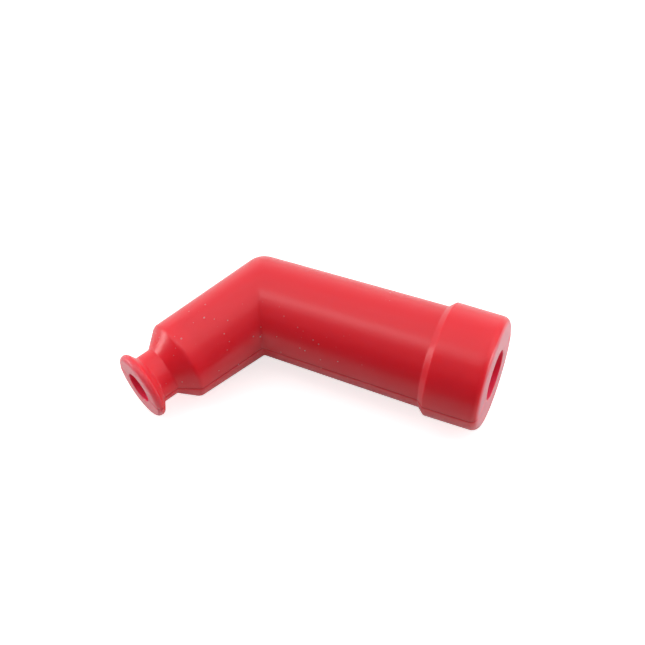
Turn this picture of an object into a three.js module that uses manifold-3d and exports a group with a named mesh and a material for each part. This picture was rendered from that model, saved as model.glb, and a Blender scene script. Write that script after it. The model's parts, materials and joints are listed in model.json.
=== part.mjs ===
// Spark plug cap: a one-piece silicone elbow boot with the brass contact set that it holds inside.
// Millimetres, +Z up. The cap lies as it comes to rest, with its plug leg pointing along +X
// and its origin at the bottom centre of its bounding box.
import * as THREE from "three";
import { ConvexHull } from "three/addons/math/ConvexHull.js";
import { mergeVertices } from "three/addons/utils/BufferGeometryUtils.js";
import Module from "manifold-3d";

// Driving dimensions in millimetres, angles in degrees.
const bendAngle = 60; // how far the lead leg turns away from the plug leg's line
const gap = 0.3; // clearance between pieces that seat on each other

// Boot, plug leg, measured from the elbow centre.
const plugLegLength = 52;
const collarRadius = 12.25;
const collarLength = 11.7;
const collarMouthEdge = 1.7; // edge radius at the plug end
const collarRampLength = 1.4; // slope from the body up to the collar
const collarRampEdge = 0.5;
const bodyRadius = 10.95; // at the foot of the collar's ramp
const elbowRadius = 10.2; // where the two legs meet
const elbowPlaneTurn = 23; // turn of the plane in which the legs meet
const elbowOuterEdge = 5.5; // edge radius on the outside of the bend
const elbowInnerEdge = 0.8; // edge radius in the inner corner

// Boot, lead leg, measured from the elbow centre.
const leadLegLength = 32.25;
const shoulderRadius = 8.75;
const shoulderEdge = 1.6;
const shoulderConeLength = 3.8;
const neckRadius = 5.4;
const neckLength = 3.4;
const neckFillet = 0.6;
const flangeRadius = 7.35;
const flangeWidth = 1.55;
const flareAngle = 56; // between the flange's back and the leg's line
const flangeBackEdge = 0.9;
const flangeFrontEdge = 1.0;

// Boot, bores.
const plugBoreRadius = 5.4; // closes on a plug insulator of up to 11 mm
const plugReach = 26.7; // how far the insulator goes in
const leadBoreRadius = 3.4; // grips a 7 mm ignition lead
const boreMouthChamfer = 0.2;

// Terminal block, a turned brass bar across the elbow centre.
const blockRadius = 4;
const blockReach = 4.9; // past the elbow centre
const blockEdge = 0.8;
const studRadius = 1.7;
const seatDistance = 3.9; // elbow centre to the spot face that seats the lead screw

// Plug socket, a brass cup that takes a plug's 6.35 mm terminal nut.
const socketRadius = 4.6;
const socketBoreRadius = 3.25;
const socketDepth = 9.5;
const socketFloor = 2;
const socketMouthChamfer = 0.45;
const socketStudLength = 7.5;
const clipDistance = 4.7; // from the socket's mouth back to its clip

// Socket clip, a spring-wire hairpin that snaps behind the terminal nut's head.
const wireRadius = 0.4;
const nutNeckRadius = 2.45; // what the clip's two legs close on
const clipLegReach = 3.2; // from the socket's centre down to the leg ends
const clipCornerRadius = 0.9;

// Lead screw, a coarse brass spike that screws into the lead's core.
const leadStudLength = 5;
const hexLength = 1.5;
const hexFlatShare = Math.cos(Math.PI / 6); // a hexagon's flats against its corners
const spikeLength = 14.5;
const spikeRootRadius = 1.15;
const spikeCrestRadius = 2.05;
const spikePitch = 2;
const spikeTaperLength = 5;
const spikeTipShare = 0.15;
const crestShare = 0.6; // share of the pitch that the thread's ridge takes

// Facets.
const boreSegments = 40;
const skinSegments = 64;
const smallSegments = 24;
const arcSteps = 4;
const ringsPerPitch = 8;

// Weights in grams per cubic centimetre, which settle how the cap lies.
const siliconeDensity = 1.15;
const brassDensity = 8.5;
const steelDensity = 7.85;

const radians = THREE.MathUtils.degToRad;
const up = new THREE.Vector3(0, 0, 1);
const bend = radians(bendAngle);
const plugLeg = {
  along: new THREE.Vector3(1, 0, 0),
  outside: new THREE.Vector3(0, 1, 0),
};
const leadLeg = {
  along: new THREE.Vector3(-Math.cos(bend), -Math.sin(bend), 0),
  outside: new THREE.Vector3(-Math.sin(bend), Math.cos(bend), 0),
};

const wasm = await Module();
wasm.setup();

// A closed geometry as a manifold solid.
function solidOf(geometry) {
  const bare = geometry.clone();
  for (const name of Object.keys(bare.attributes)) {
    if (name !== "position") bare.deleteAttribute(name);
  }
  const merged = mergeVertices(bare, 1e-5);
  const triangles = [];
  const index = merged.index.array;
  for (let i = 0; i < index.length; i += 3) {
    const [a, b, c] = [index[i], index[i + 1], index[i + 2]];
    if (a !== b && b !== c && c !== a) triangles.push(a, b, c);
  }
  return new wasm.Manifold(
    new wasm.Mesh({
      numProp: 3,
      vertProperties: merged.attributes.position.array,
      triVerts: new Uint32Array(triangles),
    }),
  );
}

// A manifold solid as a flat-shaded geometry.
function geometryOf(solid) {
  const made = solid.getMesh();
  const geometry = new THREE.BufferGeometry();
  geometry.setAttribute("position", new THREE.BufferAttribute(made.vertProperties, 3));
  geometry.setIndex(new THREE.BufferAttribute(made.triVerts, 1));
  const faceted = geometry.toNonIndexed();
  faceted.computeVertexNormals();
  return faceted;
}

// A solid of revolution about +X, from a profile of [along, radius] that runs with growing
// distance on its outer side and starts and ends on the axis.
function turned(profile, segments) {
  const points = profile.map(([along, radius]) => new THREE.Vector2(radius, along));
  return new THREE.LatheGeometry(points, segments).rotateZ(-Math.PI / 2);
}

// A closed skin through rings of points, with a flat fan at each end.
function skinned(rings) {
  const count = rings[0].length;
  const middle = (ring) =>
    ring.reduce((sum, p) => sum.add(p), new THREE.Vector3()).divideScalar(count);
  const points = [middle(rings[0]), ...rings.flat(), middle(rings.at(-1))];
  const last = points.length - 1;
  const at = (ring, i) => 1 + ring * count + (i % count);
  const faces = [];
  for (let i = 0; i < count; i += 1) {
    faces.push(0, at(0, i), at(0, i + 1));
    faces.push(last, at(rings.length - 1, i + 1), at(rings.length - 1, i));
    for (let r = 0; r + 1 < rings.length; r += 1) {
      faces.push(at(r, i), at(r + 1, i + 1), at(r, i + 1));
      faces.push(at(r, i), at(r + 1, i), at(r + 1, i + 1));
    }
  }
  const geometry = new THREE.BufferGeometry().setFromPoints(points);
  geometry.setIndex(faces);
  return geometry;
}

// A line of corners [a, b, edge radius] as points, with an arc at each corner that has a radius.
function rounded(corners) {
  const points = [];
  corners.forEach(([a, b, radius], i) => {
    const corner = new THREE.Vector2(a, b);
    if (!radius) {
      points.push(corner);
      return;
    }
    const back = new THREE.Vector2(...corners[i - 1]).sub(corner).normalize();
    const ahead = new THREE.Vector2(...corners[i + 1]).sub(corner).normalize();
    const half = Math.acos(back.dot(ahead)) / 2;
    const centre = back.clone().add(ahead).normalize();
    centre.multiplyScalar(radius / Math.sin(half)).add(corner);
    const start = corner.clone().addScaledVector(back, radius / Math.tan(half)).sub(centre);
    const turn = Math.sign(back.cross(start)) * (Math.PI - 2 * half);
    for (let k = 0; k <= arcSteps; k += 1) {
      const spoke = start.clone().rotateAround(new THREE.Vector2(), (turn * k) / arcSteps);
      points.push(spoke.add(centre));
    }
  });
  return points;
}

// Angles round a section: 0 is on the outside of the bend, a quarter turn is on top.
function angles(segments) {
  return Array.from({ length: segments }, (_, i) => (2 * Math.PI * i) / segments);
}

function legPoint(leg, distance, radius, angle) {
  const point = leg.along.clone().multiplyScalar(distance);
  point.addScaledVector(leg.outside, radius * Math.cos(angle));
  return point.addScaledVector(up, radius * Math.sin(angle));
}

function legRing(leg, distance, radius) {
  return angles(skinSegments).map((angle) => legPoint(leg, distance, radius, angle));
}

// The outer corner points of the plug leg, from its end face to the foot of the collar's ramp.
const rampTop = plugLegLength - collarLength;
const rampFoot = rampTop - collarRampLength;
const plugLegOutline = rounded([
  [plugLegLength, 0],
  [plugLegLength, collarRadius, collarMouthEdge],
  [rampTop, collarRadius, collarRampEdge],
  [rampFoot, bodyRadius, collarRampEdge],
  [0, elbowRadius],
]).slice(1, -1);

// The outer corner points of the lead leg, from its shoulder to its end face.
const flareLength = (flangeRadius - neckRadius) / Math.tan(radians(flareAngle));
const flangeBack = leadLegLength - flangeWidth;
const neckEnd = flangeBack - flareLength;
const neckStart = neckEnd - neckLength;
const shoulder = neckStart - shoulderConeLength;
const leadLegOutline = rounded([
  [0, elbowRadius],
  [shoulder, shoulderRadius, shoulderEdge],
  [neckStart, neckRadius, neckFillet],
  [neckEnd, neckRadius, neckFillet],
  [flangeBack, flangeRadius, flangeBackEdge],
  [leadLegLength, flangeRadius, flangeFrontEdge],
  [leadLegLength, 0],
]).slice(1, -1);

// The rings over the elbow. The legs meet on a slanted ring, and each line along the skin is
// rounded there, widely on the outside of the bend and tightly in its inner corner.
function elbowRings(before, after) {
  const slant = Math.tan(radians(elbowPlaneTurn));
  const outer = elbowOuterEdge * Math.tan(bend / 2);
  const inner = elbowInnerEdge * Math.tan(bend / 2);
  return Array.from({ length: 2 * arcSteps + 1 }, (_, k) => {
    const share = k / (2 * arcSteps);
    return angles(skinSegments).map((angle, i) => {
      const side = Math.cos(angle);
      const corner = legPoint(plugLeg, -elbowRadius * side * slant, elbowRadius, angle);
      const setback = inner + (outer - inner) * ((1 + side) / 2) ** 2;
      const start = before[i].clone().sub(corner).setLength(setback).add(corner);
      const end = after[i].clone().sub(corner).setLength(setback).add(corner);
      return start.lerp(corner, share).lerp(corner.lerp(end, share), share);
    });
  });
}

// Where the pieces of the contact set meet along the plug leg.
const socketMouth = plugLegLength - plugReach;
const socketBack = socketMouth - socketDepth - socketFloor;
const blockFront = socketBack - gap;

// Turns what was made along +X to run along the lead leg.
const toLeadLeg = new THREE.Matrix4().makeRotationZ(Math.PI + bend);

function bootGeometry() {
  const plugRings = plugLegOutline.map((p) => legRing(plugLeg, p.x, p.y));
  const leadRings = leadLegOutline.map((p) => legRing(leadLeg, p.x, p.y));
  const elbow = elbowRings(plugRings.at(-1), leadRings[0]);
  const skin = solidOf(skinned([...plugRings, ...elbow, ...leadRings]));
  const plugBore = turned(
    [
      [-blockReach - gap, 0],
      [-blockReach - gap, blockRadius + gap],
      [blockFront, blockRadius + gap],
      [blockFront, plugBoreRadius],
      [plugLegLength - boreMouthChamfer, plugBoreRadius],
      [plugLegLength + boreMouthChamfer, plugBoreRadius + 2 * boreMouthChamfer],
      [plugLegLength + boreMouthChamfer, 0],
    ],
    boreSegments,
  );
  const leadBore = turned(
    [
      [0, 0],
      [0, leadBoreRadius],
      [leadLegLength - boreMouthChamfer, leadBoreRadius],
      [leadLegLength + boreMouthChamfer, leadBoreRadius + 2 * boreMouthChamfer],
      [leadLegLength + boreMouthChamfer, 0],
    ],
    boreSegments,
  ).applyMatrix4(toLeadLeg);
  return geometryOf(skin.subtract(solidOf(plugBore)).subtract(solidOf(leadBore)));
}

// The block is cross-drilled for the lead screw's stud and drilled for the socket's stud.
function blockGeometry() {
  const bar = turned(
    [
      [-blockReach, 0],
      [-blockReach, blockRadius - blockEdge],
      [-blockReach + blockEdge, blockRadius],
      [blockFront - blockEdge, blockRadius],
      [blockFront, blockRadius - blockEdge],
      [blockFront, 0],
    ],
    boreSegments,
  );
  const holeRadius = studRadius + gap;
  const socketHole = turned(
    [
      [socketBack - socketStudLength - gap, 0],
      [socketBack - socketStudLength - gap, holeRadius],
      [blockFront + gap, holeRadius],
      [blockFront + gap, 0],
    ],
    smallSegments,
  );
  const beyond = 2 * blockRadius + blockReach;
  const leadHole = turned(
    [
      [seatDistance - leadStudLength, 0],
      [seatDistance - leadStudLength, holeRadius],
      [seatDistance, holeRadius],
      [seatDistance, leadBoreRadius],
      [beyond, leadBoreRadius],
      [beyond, 0],
    ],
    smallSegments,
  ).applyMatrix4(toLeadLeg);
  return geometryOf(solidOf(bar).subtract(solidOf(socketHole)).subtract(solidOf(leadHole)));
}

// The socket's clip lies in a groove, and its legs reach the nut through two side windows.
const clipPlace = socketMouth - clipDistance;
const clipBowRadius = plugBoreRadius - gap - wireRadius;
const clipLegSide = nutNeckRadius + wireRadius;
const grooveHalf = wireRadius + gap;

function socketGeometry() {
  const grooveRadius = clipBowRadius - wireRadius - gap;
  const cup = turned(
    [
      [socketBack - socketStudLength, 0],
      [socketBack - socketStudLength, studRadius],
      [socketBack, studRadius],
      [socketBack, socketRadius - socketMouthChamfer],
      [socketBack + socketMouthChamfer, socketRadius],
      [clipPlace - grooveHalf, socketRadius],
      [clipPlace - grooveHalf, grooveRadius],
      [clipPlace + grooveHalf, grooveRadius],
      [clipPlace + grooveHalf, socketRadius],
      [socketMouth, socketRadius],
      [socketMouth, socketBoreRadius + socketMouthChamfer],
      [socketMouth - socketMouthChamfer, socketBoreRadius],
      [socketBack + socketFloor, socketBoreRadius],
      [socketBack + socketFloor, 0],
    ],
    boreSegments,
  );
  const inner = clipLegSide - wireRadius - gap;
  const depth = socketRadius + gap - inner;
  const height = 2 * (clipBowRadius - wireRadius);
  const windows = [-1, 1].map((side) =>
    solidOf(
      new THREE.BoxGeometry(2 * grooveHalf, depth, height).translate(
        clipPlace,
        side * (inner + depth / 2),
        0,
      ),
    ),
  );
  return geometryOf(solidOf(cup).subtract(windows[0]).subtract(windows[1]));
}

function clipGeometry() {
  const legTop = Math.sqrt(clipBowRadius ** 2 - clipLegSide ** 2);
  const startAngle = Math.atan2(legTop, clipLegSide);
  const bowSteps = 2 * arcSteps;
  const bow = Array.from({ length: bowSteps - 1 }, (_, k) => {
    const angle = startAngle + ((Math.PI - 2 * startAngle) * (k + 1)) / bowSteps;
    return [clipBowRadius * Math.cos(angle), clipBowRadius * Math.sin(angle)];
  });
  const line = rounded([
    [clipLegSide, -clipLegReach],
    [clipLegSide, legTop, clipCornerRadius],
    ...bow,
    [-clipLegSide, legTop, clipCornerRadius],
    [-clipLegSide, -clipLegReach],
  ]);
  const rings = line.map((p, i) => {
    const before = line[Math.max(i - 1, 0)];
    const after = line[Math.min(i + 1, line.length - 1)];
    const across = after.clone().sub(before).normalize();
    return angles(smallSegments / 2).map((angle) => {
      const out = wireRadius * Math.cos(angle);
      const y = p.x + across.y * out;
      const z = p.y - across.x * out;
      return new THREE.Vector3(clipPlace + wireRadius * Math.sin(angle), y, z);
    });
  });
  return skinned(rings).toNonIndexed();
}

// Distance from the axis to the spike's right-hand thread, at a place along it and an angle.
function threadRadius(along, angle) {
  const phase = (along / spikePitch + 1 - angle / (2 * Math.PI)) % 1;
  const ridge = Math.max(0, 1 - Math.abs(phase - 0.5) / (crestShare / 2));
  const left = Math.min(1, (spikeLength - along) / spikeTaperLength);
  const slim = spikeTipShare + (1 - spikeTipShare) * left;
  const started = Math.min(1, along / spikePitch);
  return slim * (spikeRootRadius + (spikeCrestRadius - spikeRootRadius) * ridge * started);
}

// The lead screw runs along +X from its stud's end, with the elbow centre at zero.
function leadScrewGeometry() {
  const hexStart = seatDistance + gap;
  const hexEnd = hexStart + hexLength;
  const corner = leadBoreRadius - gap;
  const section = (along, radiusAt) =>
    angles(smallSegments).map((angle) => {
      const radius = radiusAt(angle);
      return new THREE.Vector3(along, radius * Math.cos(angle), radius * Math.sin(angle));
    });
  const round = () => studRadius;
  const hex = (angle) => {
    const off = (angle % (Math.PI / 3)) - Math.PI / 6;
    return (corner * hexFlatShare) / Math.cos(off);
  };
  const steps = Math.round((spikeLength / spikePitch) * ringsPerPitch);
  const spike = Array.from({ length: steps + 1 }, (_, k) => {
    const along = (spikeLength * k) / steps;
    return section(hexEnd + along, (angle) => threadRadius(along, angle));
  });
  const studEnd = seatDistance + gap - leadStudLength;
  const stud = [section(studEnd, round), section(hexStart, round)];
  const rings = [...stud, section(hexStart, hex), section(hexEnd, hex), ...spike];
  return skinned(rings.reverse()).toNonIndexed();
}

const silicone = new THREE.MeshStandardMaterial({ color: 0xd8262f, roughness: 0.55 });
const brass = new THREE.MeshStandardMaterial({ color: 0xc8a24a, roughness: 0.35, metalness: 1 });
const springSteel = new THREE.MeshStandardMaterial({
  color: 0xa8abb0,
  roughness: 0.3,
  metalness: 1,
});

function piece(name, geometry, material) {
  const mesh = new THREE.Mesh(geometry, material);
  mesh.name = name;
  return mesh;
}

const boot = piece("boot", bootGeometry(), silicone);
const block = piece("terminal_block", blockGeometry(), brass);
const socket = piece("plug_socket", socketGeometry(), brass);
const clip = piece("socket_clip", clipGeometry(), springSteel);
const leadScrew = piece("lead_screw", leadScrewGeometry(), brass);

const leadAxis = new THREE.Group();
leadAxis.applyMatrix4(toLeadLeg);
leadAxis.add(leadScrew);

// The whole cap in its own working position, with both legs level and the elbow centre at zero.
const level = new THREE.Group();
level.add(boot, block, socket, clip, leadAxis);
level.updateMatrixWorld(true);

// Weight and first moment of a mesh, summed over the tetrahedra from zero to its faces.
function momentOf(mesh, density) {
  const position = mesh.geometry.getAttribute("position");
  const corner = (i) => new THREE.Vector3().fromBufferAttribute(position, i);
  const moment = new THREE.Vector3();
  let weight = 0;
  for (let i = 0; i < position.count; i += 3) {
    const [a, b, c] = [corner(i), corner(i + 1), corner(i + 2)];
    [a, b, c].forEach((p) => p.applyMatrix4(mesh.matrixWorld));
    const part = (density * a.dot(b.clone().cross(c))) / 6;
    weight += part;
    moment.addScaledVector(a.add(b).add(c), part / 4);
  }
  return { weight, moment };
}

const moments = [
  momentOf(boot, siliconeDensity),
  momentOf(block, brassDensity),
  momentOf(socket, brassDensity),
  momentOf(leadScrew, brassDensity),
  momentOf(clip, steelDensity),
];
const weight = moments.reduce((sum, m) => sum + m.weight, 0);
const balance = new THREE.Vector3();
moments.forEach((m) => balance.addScaledVector(m.moment, 1 / weight));

// True if the point lies over the face, seen along the face's own normal.
function isOver(face, point) {
  let edge = face.edge;
  for (let k = 0; k < 3; k += 1) {
    const tail = edge.tail().point;
    const side = edge.head().point.clone().sub(tail);
    if (side.cross(point.clone().sub(tail)).dot(face.normal) < 0) return false;
    edge = edge.next;
  }
  return true;
}

// The cap rests on the face of its hull that lies under its balance point and faces down most.
const skinPoints = [];
const bootPosition = boot.geometry.getAttribute("position");
for (let i = 0; i < bootPosition.count; i += 1) {
  skinPoints.push(new THREE.Vector3().fromBufferAttribute(bootPosition, i));
}
const hull = new ConvexHull().setFromPoints(skinPoints);
const underside = hull.faces
  .filter((face) => isOver(face, balance))
  .sort((a, b) => a.normal.z - b.normal.z)[0].normal;

const down = new THREE.Vector3(0, 0, -1);
const lying = new THREE.Quaternion().setFromUnitVectors(underside, down);
const heading = plugLeg.along.clone().applyQuaternion(lying);
const swing = new THREE.Quaternion().setFromAxisAngle(up, -Math.atan2(heading.y, heading.x));
level.quaternion.copy(swing.multiply(lying));
const box = new THREE.Box3().setFromObject(level, true);
const centre = box.getCenter(new THREE.Vector3());
level.position.set(-centre.x, -centre.y, -box.min.z);

const sparkPlugCap = new THREE.Group();
sparkPlugCap.name = "spark_plug_cap";
sparkPlugCap.add(level);

export default sparkPlugCap;
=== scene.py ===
"""Looks, light and camera for the spark plug cap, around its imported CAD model.

The boot's sizes are in millimetres and are turned into metres where points are made. The studio's
are in metres. The two legs are placed by the mounts on their end faces, so every piece lies where
the CAD model lies.
"""

import json
import math

import bpy
import numpy as np
from mathutils import Matrix, Vector


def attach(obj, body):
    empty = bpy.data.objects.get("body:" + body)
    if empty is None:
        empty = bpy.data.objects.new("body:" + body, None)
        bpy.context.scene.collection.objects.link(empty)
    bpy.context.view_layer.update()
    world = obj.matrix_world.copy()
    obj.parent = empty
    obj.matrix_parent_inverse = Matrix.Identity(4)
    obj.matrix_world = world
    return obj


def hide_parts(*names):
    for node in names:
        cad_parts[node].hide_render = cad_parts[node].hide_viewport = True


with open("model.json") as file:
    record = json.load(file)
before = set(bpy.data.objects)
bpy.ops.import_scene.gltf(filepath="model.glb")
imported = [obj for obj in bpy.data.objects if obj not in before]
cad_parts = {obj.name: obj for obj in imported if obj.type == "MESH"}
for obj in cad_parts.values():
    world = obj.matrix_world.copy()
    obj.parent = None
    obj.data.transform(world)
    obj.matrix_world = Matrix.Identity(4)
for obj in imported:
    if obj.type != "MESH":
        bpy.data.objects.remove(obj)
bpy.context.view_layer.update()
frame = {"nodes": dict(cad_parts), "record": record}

MM = 0.001

# The camera that the photo's outline asks for: where it looks from, and the point it looks at.
CAMERA_AZIMUTH = 19.95
CAMERA_ELEVATION = 55.61
CAMERA_ROLL = 1.95
CAMERA_DISTANCE = 313.1
CAMERA_AIM = (-2.01, 11.21, 8.20)
CAMERA_LENS = 81.73
CAMERA_NEAREST = 0.01
CAMERA_FARTHEST = 20
SENSOR_WIDTH = 36.0

# The studio's level directions, across the photo's view and away from the viewer, in metres.
STUDIO_TURN = math.radians(CAMERA_AZIMUTH)
STUDIO_RIGHT = Vector((math.cos(STUDIO_TURN), math.sin(STUDIO_TURN), 0))
STUDIO_AWAY = Vector((-math.sin(STUDIO_TURN), math.cos(STUDIO_TURN), 0))
CEILING_HEIGHT = 0.5

# Floor and surroundings. The floor reflects little on the viewer's side of the cap, so that the
# cap's lower sides stay deep in colour, and its glow makes up for that to the camera.
FLOOR_HALF_WIDTH = 1.0
FLOOR_NEAR_WHITENESS = 0.15
FLOOR_FAR_WHITENESS = 0.85
FLOOR_CHANGE = (-0.1, 0.0)
FLOOR_TO_CAMERA = 1.58
FILL_BRIGHTNESS = 0.07

# Boot, plug leg, measured from the elbow centre.
PLUG_LEG_LENGTH = 52.0
COLLAR_RADIUS = 12.25
COLLAR_LENGTH = 11.7
COLLAR_MOUTH_EDGE = 1.7
COLLAR_RAMP_LENGTH = 1.4
COLLAR_RAMP_EDGE = 0.5
BODY_RADIUS = 10.95
ELBOW_RADIUS = 10.2
ELBOW_PLANE_TURN = 23.0
ELBOW_OUTER_EDGE = 5.5
ELBOW_INNER_EDGE = 0.8

# Boot, lead leg, measured from the elbow centre.
LEAD_LEG_LENGTH = 32.25
SHOULDER_RADIUS = 8.75
SHOULDER_EDGE = 1.6
SHOULDER_CONE_LENGTH = 3.8
NECK_RADIUS = 5.4
NECK_LENGTH = 3.4
NECK_FILLET = 0.6
FLANGE_RADIUS = 7.35
FLANGE_WIDTH = 1.55
FLARE_ANGLE = 56.0
FLANGE_BACK_EDGE = 0.9
FLANGE_FRONT_EDGE = 1.0

# Boot, bores.
PLUG_BORE_RADIUS = 5.4
LEAD_BORE_RADIUS = 3.4
MOUTH_EDGE = 0.2
POCKET_RADIUS = 4.3
POCKET_BACK = -5.2
POCKET_LEDGE = 13.5
LEAD_BORE_SHOWN = 20.0
LINK_RADIUS = 3.2
LINK_OVERLAP = 0.5
BLIND_END_RADIUS = 0.4

# Where the lead leg's mount point lies, out from the leg's axis.
LEAD_MOUNT_OUT = 5.1

# The mould's parting line, in the plane of the two legs. It fades out at the bores. Painted shade
# darkens the red along it.
PARTING_DEPTH = 0.1
PARTING_WIDTH = 0.13
PARTING_STEP = 0.04
PARTING_PAINTED_SHADE = 0.22
PARTING_FADE = 0.6
PARTING_CLEAR_OF_PLUG_BORE = 0.55

# The silicone's red of thick walls, and painted light: a painted glow where thin walls let light
# through, a painted highlight that makes the lips at the ends paler, and a painted glow in the
# bores.
THICK_RED = np.array([0.86, 0.014, 0.031])
THIN_WALL_GLOW_RED = np.array([0.97, 0.016, 0.036])
LIP_HIGHLIGHT_RED = np.array([1.0, 0.2, 0.26])
BORE_GLOW_RED = np.array([0.97, 0.045, 0.13])
BORE_MARGIN = 0.05

# How the painted glow and highlight change along the legs: distances from a place, and their
# share.
GLOW_BY_COLLAR_FOOT = ((-2, 1), (0, 0.5))
GLOW_BY_LEAD_END = ((-14, -11, -3), (0, 0.7, 1))
HIGHLIGHT_BY_PLUG_END = ((-0.5, -0.05), (0, 1))
HIGHLIGHT_BY_LEAD_END = ((-1.5, -0.05), (0, 0.6))

# Dust: how much lies everywhere, and how much more on the plug leg's front, by the elbow.
DUST_COLOR = (0.75, 0.3, 0.32, 1)
DUST_EVERYWHERE = 0.02
DUST_BY_ELBOW = 0.25
DUST_MIDDLE = 9
DUST_REACH = 13

# Dust specks, at most one to a cell: cells to the metre, the share of cells that stay bare, and
# the largest speck and its soft edge as shares of a cell.
SPECK_CELLS = 800.0
SPECK_BARE_SHARE = 0.15
SPECK_RADIUS = 0.2
SPECK_EDGE = 0.07

# Dust patches: waves to the metre, and the heights of the waves between which a patch fades in.
PATCH_WAVES = 70.0
PATCH_EDGE = (0.56, 0.66)

# How deep the fine grain of a surface goes.
GRAIN_DEPTH = 0.02

# Facets of the boot, with extra ones at small angles, in degrees, beside the parting line.
EVEN_ANGLES = 144
PARTING_ANGLES = (0.25, 0.5, 0.8, 1.2, 1.7)
ARC_STEPS = 8
ELBOW_STEPS = 20
RING_SPACING = 1.2
SHARP_ANGLE = 40


class Leg:
    """A leg of the boot: its direction and its outward side, in the row frame."""

    def __init__(self, along, outside):
        self.along = np.array(along)
        self.outside = np.array(outside)

    def from_axis(self, points):
        """How far points lie from the leg's axis."""
        return np.linalg.norm(points - np.outer(points @ self.along, self.along), axis=1)


def mount(name):
    return next(m for m in frame["record"]["mounts"] if m["name"] == name)


plug_along = Vector(mount("plug_end_face")["axis"]).normalized()
lead_along = Vector(mount("lead_end_face")["axis"]).normalized()
upward = lead_along.cross(plug_along).normalized()
UP = np.array(upward)
PLUG_LEG = Leg(plug_along, upward.cross(plug_along))
LEAD_LEG = Leg(lead_along, lead_along.cross(upward))
lead_mount = np.array(mount("lead_end_face")["pos_m"])
ELBOW_CENTRE = lead_mount - MM * (LEAD_LEG_LENGTH * LEAD_LEG.along + LEAD_MOUNT_OUT * UP)


def section_angles():
    """Angles round a section, even all round and closer together at the parting plane."""
    even = np.arange(EVEN_ANGLES) * 2 * math.pi / EVEN_ANGLES
    near = np.radians(PARTING_ANGLES)
    extra = [side + sign * near for side in (0, math.pi) for sign in (-1, 1)]
    return np.sort(np.concatenate([even, *extra]) % (2 * math.pi))


ANGLES = section_angles()


def leg_points(leg, distance, radius):
    """Points of a round section, in millimetres from the elbow centre."""
    across = np.outer(np.cos(ANGLES), leg.outside) + np.outer(np.sin(ANGLES), UP)
    return distance * leg.along + radius * across


def rounded(corners):
    """A line of corners (a, b, edge radius), with an arc at each corner that has a radius."""
    points = []
    for i, (a, b, radius) in enumerate(corners):
        corner = np.array([a, b], float)
        if radius == 0:
            points.append(corner)
            continue
        back = np.array(corners[i - 1][:2]) - corner
        ahead = np.array(corners[i + 1][:2]) - corner
        back /= np.linalg.norm(back)
        ahead /= np.linalg.norm(ahead)
        half = math.acos(float(back @ ahead)) / 2
        middle = (back + ahead) / np.linalg.norm(back + ahead)
        centre = corner + middle * radius / math.sin(half)
        x, y = corner + back * radius / math.tan(half) - centre
        turn = math.copysign(math.pi - 2 * half, back[0] * y - back[1] * x)
        for k in range(ARC_STEPS + 1):
            angle = turn * k / ARC_STEPS
            c, s = math.cos(angle), math.sin(angle)
            points.append(centre + np.array([c * x - s * y, s * x + c * y]))
    return points


def spaced(points, spacing):
    """The same line, with points added so that no step is longer than the spacing."""
    made = [points[0]]
    for before, after in zip(points, points[1:]):
        steps = max(1, math.ceil(np.linalg.norm(after - before) / spacing))
        for k in range(1, steps + 1):
            made.append(before + (after - before) * k / steps)
    return made


def plug_leg_line():
    """The plug leg in section, from the pocket's blind end out of the bore and back outside."""
    ramp_top = PLUG_LEG_LENGTH - COLLAR_LENGTH
    ramp_foot = ramp_top - COLLAR_RAMP_LENGTH
    inside = [
        (POCKET_BACK, BLIND_END_RADIUS, 0),
        (POCKET_BACK, POCKET_RADIUS, 0),
        (POCKET_LEDGE, POCKET_RADIUS, 0),
        (POCKET_LEDGE, PLUG_BORE_RADIUS, 0),
    ]
    outside = [
        (PLUG_LEG_LENGTH, PLUG_BORE_RADIUS, MOUTH_EDGE),
        (PLUG_LEG_LENGTH, COLLAR_RADIUS, COLLAR_MOUTH_EDGE),
        (ramp_top, COLLAR_RADIUS, COLLAR_RAMP_EDGE),
        (ramp_foot, BODY_RADIUS, COLLAR_RAMP_EDGE),
        (0, ELBOW_RADIUS, 0),
    ]
    return spaced(rounded(inside + outside)[:-1], RING_SPACING)


def lead_leg_line():
    """The lead leg in section, from its shoulder to the flange and into the bore."""
    flare = (FLANGE_RADIUS - NECK_RADIUS) / math.tan(math.radians(FLARE_ANGLE))
    flange_back = LEAD_LEG_LENGTH - FLANGE_WIDTH
    neck_end = flange_back - flare
    neck_start = neck_end - NECK_LENGTH
    shoulder = neck_start - SHOULDER_CONE_LENGTH
    corners = [
        (0, ELBOW_RADIUS, 0),
        (shoulder, SHOULDER_RADIUS, SHOULDER_EDGE),
        (neck_start, NECK_RADIUS, NECK_FILLET),
        (neck_end, NECK_RADIUS, NECK_FILLET),
        (flange_back, FLANGE_RADIUS, FLANGE_BACK_EDGE),
        (LEAD_LEG_LENGTH, FLANGE_RADIUS, FLANGE_FRONT_EDGE),
        (LEAD_LEG_LENGTH, LEAD_BORE_RADIUS, MOUTH_EDGE),
        (LEAD_BORE_SHOWN, LEAD_BORE_RADIUS, 0),
        (LEAD_BORE_SHOWN, BLIND_END_RADIUS, 0),
    ]
    return spaced(rounded(corners)[1:], RING_SPACING)


def rings_between(first, last):
    """Evenly spaced rings between two rings, without those two."""
    steps = math.ceil(np.linalg.norm(last - first, axis=1).max() / RING_SPACING)
    return [first + (last - first) * k / steps for k in range(1, steps)]


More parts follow.
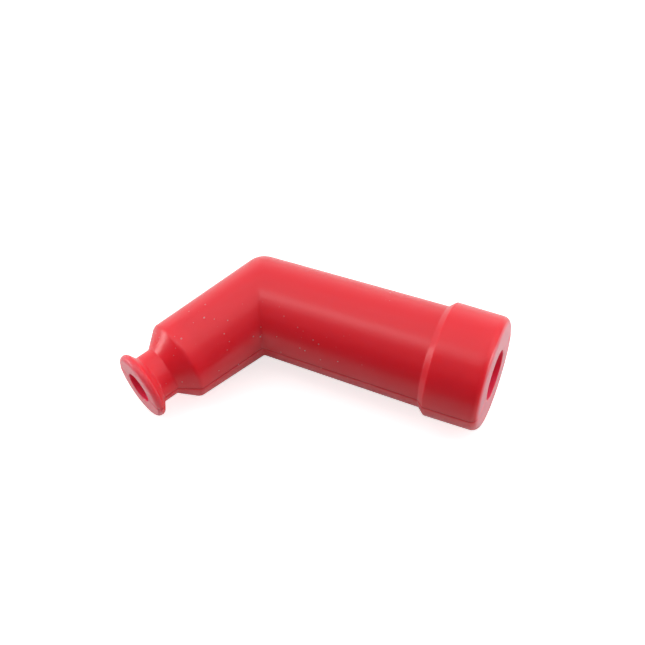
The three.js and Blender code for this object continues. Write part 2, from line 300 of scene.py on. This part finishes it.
def elbow_rings(before, after):
    """Rings over the elbow: straight lines along the skin, each rounded where the legs meet."""
    bend = math.acos(-float(PLUG_LEG.along @ LEAD_LEG.along))
    side = np.cos(ANGLES)[:, None]
    slant = math.tan(math.radians(ELBOW_PLANE_TURN))
    corner = leg_points(PLUG_LEG, 0, ELBOW_RADIUS) - ELBOW_RADIUS * side * slant * PLUG_LEG.along
    outer = ELBOW_OUTER_EDGE * math.tan(bend / 2)
    inner = ELBOW_INNER_EDGE * math.tan(bend / 2)
    setback = inner + (outer - inner) * ((1 + side) / 2) ** 2

    def toward(target):
        reach = target - corner
        return corner + setback * reach / np.linalg.norm(reach, axis=1, keepdims=True)

    start, end = toward(before), toward(after)
    turn = []
    for k in range(ELBOW_STEPS + 1):
        share = k / ELBOW_STEPS
        first = start + (corner - start) * share
        second = corner + (end - corner) * share
        turn.append(first + (second - first) * share)
    return rings_between(before, start) + turn + rings_between(end, after)


def grid_mesh(name, rings):
    """A closed mesh through rings of points in millimetres from the elbow centre."""
    count = len(rings[0])
    points = np.vstack([rings[0].mean(0), *rings, rings[-1].mean(0)])
    last = len(points) - 1
    sides = [(i, (i + 1) % count) for i in range(count)]
    faces = [(0, 1 + i, 1 + j) for i, j in sides]
    for r in range(len(rings) - 1):
        a, b = 1 + r * count, 1 + (r + 1) * count
        faces += [(a + i, b + i, b + j, a + j) for i, j in sides]
    tail = 1 + (len(rings) - 1) * count
    faces += [(last, tail + j, tail + i) for i, j in sides]
    mesh = bpy.data.meshes.new(name)
    mesh.from_pydata((ELBOW_CENTRE + MM * points).tolist(), [], faces)
    mesh.update()
    return mesh


def set_material(mesh, material):
    mesh.materials.clear()
    mesh.materials.append(material)


def add_object(name, data):
    made = bpy.data.objects.new(name, data)
    bpy.context.scene.collection.objects.link(made)
    return made


def vertex_places(mesh):
    """Where the mesh's vertices are, in metres."""
    places = np.zeros(len(mesh.vertices) * 3)
    mesh.vertices.foreach_get("co", places)
    return places.reshape(-1, 3)


def from_elbow(places):
    """Places in metres, as points in millimetres from the elbow centre."""
    return (places - ELBOW_CENTRE) / MM


def parting_share(points):
    """How close points are to the parting plane: 1 in it, and 0 away from it."""
    return np.exp(-((points @ UP / PARTING_WIDTH) ** 2))


def mark_parting_line(mesh):
    """Presses the mould's parting line into the skin, in the plane of the two legs."""
    places = vertex_places(mesh)
    points = from_elbow(places)
    normals = np.array([v.normal for v in mesh.vertices])
    groove = -PARTING_DEPTH * parting_share(points)
    step = PARTING_STEP * 0.5 * (1 - np.tanh(points @ UP / PARTING_WIDTH))
    from_axis = np.minimum(PLUG_LEG.from_axis(points), LEAD_LEG.from_axis(points))
    on_skin = np.clip((from_axis - LEAD_BORE_RADIUS - PARTING_FADE) / PARTING_FADE, 0, 1)
    plug_side = points @ PLUG_LEG.along > POCKET_BACK
    bore_edge = PLUG_BORE_RADIUS + PARTING_CLEAR_OF_PLUG_BORE
    in_plug_bore = plug_side & (PLUG_LEG.from_axis(points) < bore_edge)
    fade = np.where(in_plug_bore, 0, on_skin)
    moved = places + normals * (MM * (groove + step) * fade)[:, None]
    mesh.vertices.foreach_set("co", moved.ravel())
    mesh.update()


def link_bores(boot):
    """Opens the lead bore into the pocket at the elbow, out of sight."""
    ends = (LEAD_BORE_SHOWN + LINK_OVERLAP, 0.0)
    cutter_mesh = grid_mesh("link", [leg_points(LEAD_LEG, end, LINK_RADIUS) for end in ends])
    cutter_mesh.flip_normals()
    cutter = add_object("link", cutter_mesh)
    cut = boot.modifiers.new("link", "BOOLEAN")
    cut.operation = "DIFFERENCE"
    cut.object = cutter
    cut.solver = "EXACT"
    bpy.context.view_layer.update()
    graph = bpy.context.evaluated_depsgraph_get()
    linked = bpy.data.meshes.new_from_object(boot.evaluated_get(graph))
    boot.modifiers.clear()
    boot.data = linked
    bpy.data.objects.remove(cutter)


def in_bores(points):
    """Which points lie on the walls of the two bores."""
    found = np.zeros(len(points), bool)
    for leg, length, radius in (
        (PLUG_LEG, PLUG_LEG_LENGTH, PLUG_BORE_RADIUS),
        (LEAD_LEG, LEAD_LEG_LENGTH, LEAD_BORE_RADIUS),
    ):
        along = points @ leg.along
        near_axis = leg.from_axis(points) < radius + BORE_MARGIN
        found |= near_axis & (along > -POCKET_RADIUS) & (along < length - BORE_MARGIN)
    return found


def skin_red(points):
    """The red of the outside: a painted glow makes the collar and the neck lighter, a painted
    highlight makes the two ends palest, and painted shade darkens the parting line.
    """
    past_collar_foot = points @ PLUG_LEG.along - (PLUG_LEG_LENGTH - COLLAR_LENGTH)
    past_plug_end = points @ PLUG_LEG.along - PLUG_LEG_LENGTH
    past_lead_end = points @ LEAD_LEG.along - LEAD_LEG_LENGTH
    painted_glow = np.interp(past_collar_foot, *GLOW_BY_COLLAR_FOOT)
    painted_glow += np.interp(past_lead_end, *GLOW_BY_LEAD_END)
    painted_highlight = np.interp(past_plug_end, *HIGHLIGHT_BY_PLUG_END)
    painted_highlight += np.interp(past_lead_end, *HIGHLIGHT_BY_LEAD_END)
    # Painted glow: thin walls are made lighter, standing in for light that comes through them.
    red = THICK_RED + (THIN_WALL_GLOW_RED - THICK_RED) * painted_glow[:, None]
    # Painted highlight: the two end faces are made paler, standing in for the light they catch.
    red += (LIP_HIGHLIGHT_RED - red) * painted_highlight[:, None]
    # Painted shade: the red is darkened along the parting line's groove.
    return red * (1 - PARTING_PAINTED_SHADE * parting_share(points))[:, None]


def dustiness(points):
    """How dusty each place is, most of all on the inner side by the elbow."""
    front = np.clip(-points @ PLUG_LEG.outside / ELBOW_RADIUS, 0, 1)
    nearness = np.exp(-(((points @ PLUG_LEG.along - DUST_MIDDLE) / DUST_REACH) ** 2))
    return DUST_EVERYWHERE + DUST_BY_ELBOW * front * nearness


def paint_silicone(mesh):
    """Paints the silicone's red by place, with its painted glow, highlight and shade, and how
    dusty the place is in the alpha.
    """
    points = from_elbow(vertex_places(mesh))
    # Painted glow: the bores' insides get a lighter red, standing in for light that comes through
    # the walls.
    red = np.where(in_bores(points)[:, None], BORE_GLOW_RED, skin_red(points))
    paint = mesh.color_attributes.new("silicone_red", "FLOAT_COLOR", "POINT")
    paint.data.foreach_set("color", np.column_stack([red, dustiness(points)]).ravel())


def make_boot(material):
    """The silicone moulding, as one closed mesh in place of the CAD model's boot."""
    plug_rings = [leg_points(PLUG_LEG, a, b) for a, b in plug_leg_line()]
    lead_rings = [leg_points(LEAD_LEG, a, b) for a, b in lead_leg_line()]
    rings = plug_rings + elbow_rings(plug_rings[-1], lead_rings[0]) + lead_rings
    mesh = grid_mesh("silicone_boot", rings)
    mark_parting_line(mesh)
    set_material(mesh, material)
    boot = add_object("silicone_boot", mesh)
    link_bores(boot)
    paint_silicone(boot.data)
    boot.data.polygons.foreach_set("use_smooth", [True] * len(boot.data.polygons))
    boot.data.set_sharp_from_angle(angle=math.radians(SHARP_ANGLE))
    return boot


class Nodes:
    """A short way to add, set and join shader nodes."""

    def __init__(self, tree):
        self.tree = tree

    def add(self, kind, **values):
        """Adds a node and sets its options, or its sockets where a name is no option."""
        node = self.tree.nodes.new(kind)
        for key, value in values.items():
            if hasattr(node, key):
                setattr(node, key, value)
            else:
                node.inputs[key.replace("_", " ")].default_value = value
        return node

    def join(self, source, target):
        self.tree.links.new(source, target)

    def combine(self, operation, first, second):
        """The sum, product or other result of two sockets."""
        node = self.add("ShaderNodeMath", operation=operation)
        self.join(first, node.inputs[0])
        self.join(second, node.inputs[1])
        return node.outputs["Value"]

    def remap(self, source, between, onto=(0.0, 1.0), curve="LINEAR"):
        """Carries a socket's values from one range onto another, and stops at its ends."""
        node = self.add("ShaderNodeMapRange", interpolation_type=curve)
        node.inputs["From Min"].default_value, node.inputs["From Max"].default_value = between
        node.inputs["To Min"].default_value, node.inputs["To Max"].default_value = onto
        self.join(source, node.inputs["Value"])
        return node.outputs["Result"]

    def place(self):
        """The place on the object, which patterns are laid out by."""
        return self.add("ShaderNodeTexCoord").outputs["Object"]

    def grain(self, shader, scale, detail, strength):
        """Roughens a shader's surface with fine noise."""
        noise = self.add("ShaderNodeTexNoise", Scale=scale, Detail=detail)
        self.join(self.place(), noise.inputs["Vector"])
        bump = self.add("ShaderNodeBump", Strength=strength, Distance=GRAIN_DEPTH * MM)
        self.join(noise.outputs["Fac"], bump.inputs["Height"])
        self.join(bump.outputs["Normal"], shader.inputs["Normal"])


def new_material(name):
    material = bpy.data.materials.new(name)
    material.use_nodes = True
    nodes = Nodes(material.node_tree)
    shader = material.node_tree.nodes["Principled BSDF"]
    return material, nodes, shader


def dust_mask(nodes, dusty_share):
    """Small specks of dust that lie in loose patches: 1 on a speck and 0 elsewhere."""
    cells = nodes.add("ShaderNodeTexVoronoi", Scale=SPECK_CELLS)
    nodes.join(nodes.place(), cells.inputs["Vector"])
    chance = nodes.add("ShaderNodeSeparateColor")
    nodes.join(cells.outputs["Color"], chance.inputs["Color"])
    radius = nodes.remap(chance.outputs["Red"], (SPECK_BARE_SHARE, 1.0), (0.0, SPECK_RADIUS))
    depth_in_speck = nodes.combine("SUBTRACT", radius, cells.outputs["Distance"])
    speck = nodes.remap(depth_in_speck, (0.0, SPECK_EDGE))
    patches = nodes.add("ShaderNodeTexNoise", Scale=PATCH_WAVES, Detail=1.0)
    nodes.join(nodes.place(), patches.inputs["Vector"])
    amount = nodes.combine("ADD", patches.outputs["Fac"], dusty_share)
    return nodes.combine("MULTIPLY", speck, nodes.remap(amount, PATCH_EDGE))


def silicone_material():
    """Satin red silicone with a milky bloom, a faint grain and a little dust."""
    material, nodes, shader = new_material("red_silicone")
    # The red painted on the mesh, with its painted glow, highlight and shade, and the dust in its
    # alpha.
    red = nodes.add("ShaderNodeAttribute", attribute_name="silicone_red")
    dusty = nodes.add("ShaderNodeMix", data_type="RGBA")
    dusty.inputs["B"].default_value = DUST_COLOR
    nodes.join(dust_mask(nodes, red.outputs["Alpha"]), dusty.inputs["Factor"])
    nodes.join(red.outputs["Color"], dusty.inputs["A"])
    nodes.join(dusty.outputs["Result"], shader.inputs["Base Color"])
    shader.inputs["Roughness"].default_value = 0.26
    shader.inputs["IOR"].default_value = 1.5
    shader.inputs["Subsurface Weight"].default_value = 0.8
    shader.inputs["Subsurface Radius"].default_value = (1.0, 0.12, 0.1)
    shader.inputs["Subsurface Scale"].default_value = 2.5 * MM
    shader.inputs["Sheen Weight"].default_value = 0.25
    shader.inputs["Sheen Roughness"].default_value = 0.4
    nodes.grain(shader, scale=2600.0, detail=3.0, strength=0.12)
    return material


def metal_material(name, color, roughness):
    """Metal with fine tool marks."""
    material, nodes, shader = new_material(name)
    shader.inputs["Base Color"].default_value = (*color, 1)
    shader.inputs["Metallic"].default_value = 1
    shader.inputs["Roughness"].default_value = roughness
    nodes.grain(shader, scale=3000.0, detail=2.0, strength=0.2)
    return material


def floor_material():
    """White that stays white to the camera and keeps a soft shadow."""
    material, nodes, shader = new_material("white_floor")
    shader.inputs["Roughness"].default_value = 0.9
    shader.inputs["Specular IOR Level"].default_value = 0.2
    reach = nodes.add("ShaderNodeVectorMath", operation="DOT_PRODUCT")
    reach.inputs[1].default_value = STUDIO_AWAY
    nodes.join(nodes.place(), reach.inputs[0])
    whiteness = nodes.remap(
        reach.outputs["Value"],
        FLOOR_CHANGE,
        (FLOOR_NEAR_WHITENESS, FLOOR_FAR_WHITENESS),
        curve="SMOOTHSTEP",
    )
    nodes.join(whiteness, shader.inputs["Base Color"])
    missing = nodes.add("ShaderNodeMath", operation="SUBTRACT")
    missing.inputs[0].default_value = FLOOR_TO_CAMERA
    nodes.join(whiteness, missing.inputs[1])
    glow = nodes.add("ShaderNodeEmission")
    nodes.join(missing.outputs["Value"], glow.inputs["Strength"])
    glowing = nodes.add("ShaderNodeAddShader")
    nodes.join(shader.outputs["BSDF"], glowing.inputs[0])
    nodes.join(glow.outputs["Emission"], glowing.inputs[1])
    path = nodes.add("ShaderNodeLightPath")
    mix = nodes.add("ShaderNodeMixShader")
    nodes.join(path.outputs["Is Camera Ray"], mix.inputs["Fac"])
    nodes.join(shader.outputs["BSDF"], mix.inputs[1])
    nodes.join(glowing.outputs["Shader"], mix.inputs[2])
    output = material.node_tree.nodes["Material Output"]
    nodes.join(mix.outputs["Shader"], output.inputs["Surface"])
    return material


def make_floor():
    """A plain square under the cap."""
    reach = FLOOR_HALF_WIDTH
    corners = [(-reach, -reach, 0), (reach, -reach, 0), (reach, reach, 0), (-reach, reach, 0)]
    mesh = bpy.data.meshes.new("floor")
    mesh.from_pydata(corners, [], [(0, 1, 2, 3)])
    set_material(mesh, floor_material())
    floor = add_object("floor", mesh)


def make_world():
    """White to the camera, and a soft grey fill for everything else."""
    world = bpy.data.worlds.new("studio")
    bpy.context.scene.world = world
    world.use_nodes = True
    nodes = Nodes(world.node_tree)
    background = world.node_tree.nodes["Background"]
    background.inputs["Color"].default_value = (1, 1, 1, 1)
    path = nodes.add("ShaderNodeLightPath")
    level = nodes.remap(path.outputs["Is Camera Ray"], (0.0, 1.0), (FILL_BRIGHTNESS, 1.0))
    nodes.join(level, background.inputs["Strength"])


def add_softbox(name, place, facing, size, brightness):
    """A soft panel, placed by its centre, with the brightness that its face shows."""
    light = bpy.data.lights.new(name, "AREA")
    light.shape = "RECTANGLE"
    light.size, light.size_y = size
    light.energy = math.pi * brightness * size[0] * size[1]
    lamp = add_object(name, light)
    outward = -Vector(facing).normalized()
    sideways = abs(outward.dot(STUDIO_RIGHT)) > abs(outward.dot(STUDIO_AWAY))
    level = STUDIO_AWAY if sideways else STUDIO_RIGHT
    upright = outward.cross(level).normalized()
    turned = Matrix((upright.cross(outward), upright, outward)).transposed().to_4x4()
    lamp.matrix_world = Matrix.Translation(place) @ turned
    lamp.visible_camera = False


def add_ceiling(name, across, away, brightness):
    """A ceiling panel that spans two distances across the view and two away from the viewer."""
    (left, right), (near, far) = across, away
    middle = STUDIO_RIGHT * (left + right) / 2 + STUDIO_AWAY * (near + far) / 2
    place = middle + Vector((0, 0, CEILING_HEIGHT))
    add_softbox(name, place, (0, 0, -1), (right - left, far - near), brightness)


def add_wall(name, middle, facing, width, heights, brightness):
    """An upright panel between two heights."""
    low, high = heights
    place = middle + Vector((0, 0, (low + high) / 2))
    add_softbox(name, place, facing, (width, high - low), brightness)


def make_lights():
    """A broad overhead bank, brightest above the cap, with panels to the sides and behind."""
    add_ceiling("overhead_front", (-0.9, 0.9), (-0.7, -0.2), 0.18)
    add_ceiling("overhead", (-0.9, 0.9), (-0.13, 0.4), 1.05)
    add_ceiling("overhead_edge", (-0.3, 0.25), (-0.2, -0.13), 0.7)
    add_ceiling("overhead_strip", (-0.3, -0.1), (-0.07, 0.05), 2.2)
    add_ceiling("overhead_left", (-0.9, -0.3), (-0.2, 0.8), 0.7)
    add_ceiling("overhead_far_left", (-0.9, -0.3), (0.05, 0.4), 1.1)
    add_ceiling("overhead_right", (0.25, 0.9), (-0.2, 0.4), 1.1)
    add_ceiling("overhead_back", (-0.9, 0.9), (0.4, 1.6), 0.75)
    right, away = STUDIO_RIGHT, STUDIO_AWAY
    add_wall("right_low", right * 0.9 - away * 0.12, -right, 0.45, (0.0, 0.2), 6.2)
    add_wall("right_high", right * 0.9 + away * 0.3, -right, 1.2, (0.2, 0.45), 1.3)
    add_wall("left_low", right * -0.9 + away * 0.3, right, 1.2, (0.0, 0.2), 1.0)
    add_wall("left_near", right * -0.6 + away * 0.16, right, 0.3, (0.0, 0.1), 5.5)
    add_wall("left_high", right * -0.9 + away * 0.5, right, 0.8, (0.2, 0.45), 1.4)
    add_wall("behind", away * 1.5, -away, 2.4, (0.0, 0.45), 0.95)


def make_camera():
    """The camera of the photo, which looks down at the cap from the front right."""
    elevation, roll = math.radians(CAMERA_ELEVATION), math.radians(CAMERA_ROLL)
    back = -STUDIO_AWAY * math.cos(elevation) + Vector((0, 0, math.sin(elevation)))
    up = back.cross(STUDIO_RIGHT)
    tilted_right = STUDIO_RIGHT * math.cos(roll) + up * math.sin(roll)
    tilted_up = up * math.cos(roll) - STUDIO_RIGHT * math.sin(roll)
    place = MM * (Vector(CAMERA_AIM) + CAMERA_DISTANCE * back)
    data = bpy.data.cameras.new("camera")
    data.sensor_width = SENSOR_WIDTH
    data.lens = CAMERA_LENS
    data.clip_start, data.clip_end = CAMERA_NEAREST, CAMERA_FARTHEST
    camera = add_object("camera", data)
    turned = Matrix((tilted_right, tilted_up, back)).transposed().to_4x4()
    camera.matrix_world = Matrix.Translation(place) @ turned
    bpy.context.scene.camera = camera


def dress_metal_pieces():
    """Gives the CAD model's own metal pieces their looks."""
    brass = metal_material("brass", color=(0.72, 0.5, 0.2), roughness=0.32)
    steel = metal_material("spring_steel", color=(0.5, 0.51, 0.53), roughness=0.3)
    for name in ("terminal_block", "plug_socket", "lead_screw"):
        set_material(frame["nodes"][name].data, brass)
    set_material(frame["nodes"]["socket_clip"].data, steel)


def main():
    make_camera()
    boot = make_boot(silicone_material())
    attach(boot, "root")
    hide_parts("boot")
    dress_metal_pieces()
    make_floor()
    make_world()
    make_lights()
    bpy.context.scene.view_settings.view_transform = "Standard"


main()
